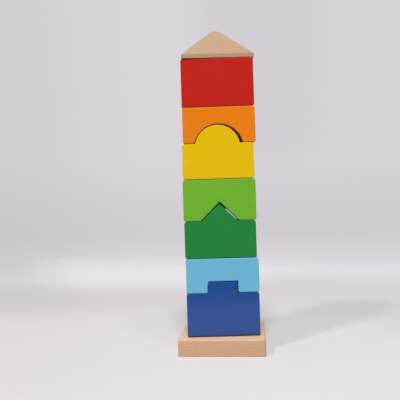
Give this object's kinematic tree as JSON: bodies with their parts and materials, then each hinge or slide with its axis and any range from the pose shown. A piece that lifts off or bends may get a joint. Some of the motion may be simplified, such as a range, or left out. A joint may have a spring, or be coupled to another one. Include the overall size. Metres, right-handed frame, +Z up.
{
  "type": "stacking tower",
  "caption": "Wooden stacking tower: coloured blocks that key together by tenon, peak and dome, threaded on a dowel in a square foot and capped by a hipped roof.",
  "frame": {"origin": "centre of the foot's underside, on the dowel's axis", "axes": "+Z up along the dowel, -Y out of the foot's pictured front edge, +X to its right"},
  "size_m": [0.0712, 0.0712, 0.2741],
  "materials": {
    "beech": "satin",
    "blue_paint": "satin",
    "light_blue_paint": "satin",
    "dark_green_paint": "satin",
    "light_green_paint": "satin",
    "yellow_paint": "satin",
    "orange_paint": "satin",
    "red_paint": "satin"
  },
  "bodies": {
    "base": {"base_plate": "beech", "peg": "beech"},
    "blue": {"blue_block": "blue_paint"},
    "light_blue": {"light_blue_block": "light_blue_paint"},
    "dark_green": {"dark_green_block": "dark_green_paint"},
    "light_green": {"light_green_block": "light_green_paint"},
    "yellow": {"yellow_block": "yellow_paint"},
    "orange": {"orange_block": "orange_paint"},
    "red": {"red_block": "red_paint"},
    "roof": {"pyramid_roof": "beech"}
  },
  "joints": [
    {"name": "blue_lift", "type": "slide", "parent": "base", "child": "blue", "axis": [0, 0, 1], "range_m": [0, 0.253]},
    {"name": "light_blue_lift", "type": "slide", "parent": "blue", "child": "light_blue", "axis": [0, 0, 1], "range_m": [0, 0.217]},
    {"name": "dark_green_lift", "type": "slide", "parent": "light_blue", "child": "dark_green", "axis": [0, 0, 1], "range_m": [0, 0.188]},
    {"name": "light_green_lift", "type": "slide", "parent": "dark_green", "child": "light_green", "axis": [0, 0, 1], "range_m": [0, 0.1572]},
    {"name": "yellow_lift", "type": "slide", "parent": "light_green", "child": "yellow", "axis": [0, 0, 1], "range_m": [0, 0.1224]},
    {"name": "orange_lift", "type": "slide", "parent": "yellow", "child": "orange", "axis": [0, 0, 1], "range_m": [0, 0.0926]},
    {"name": "red_lift", "type": "slide", "parent": "orange", "child": "red", "axis": [0, 0, 1], "range_m": [0, 0.0623]},
    {"name": "roof_lift", "type": "slide", "parent": "red", "child": "roof", "axis": [0, 0, 1], "range_m": [0, 0.022]}
  ]
}
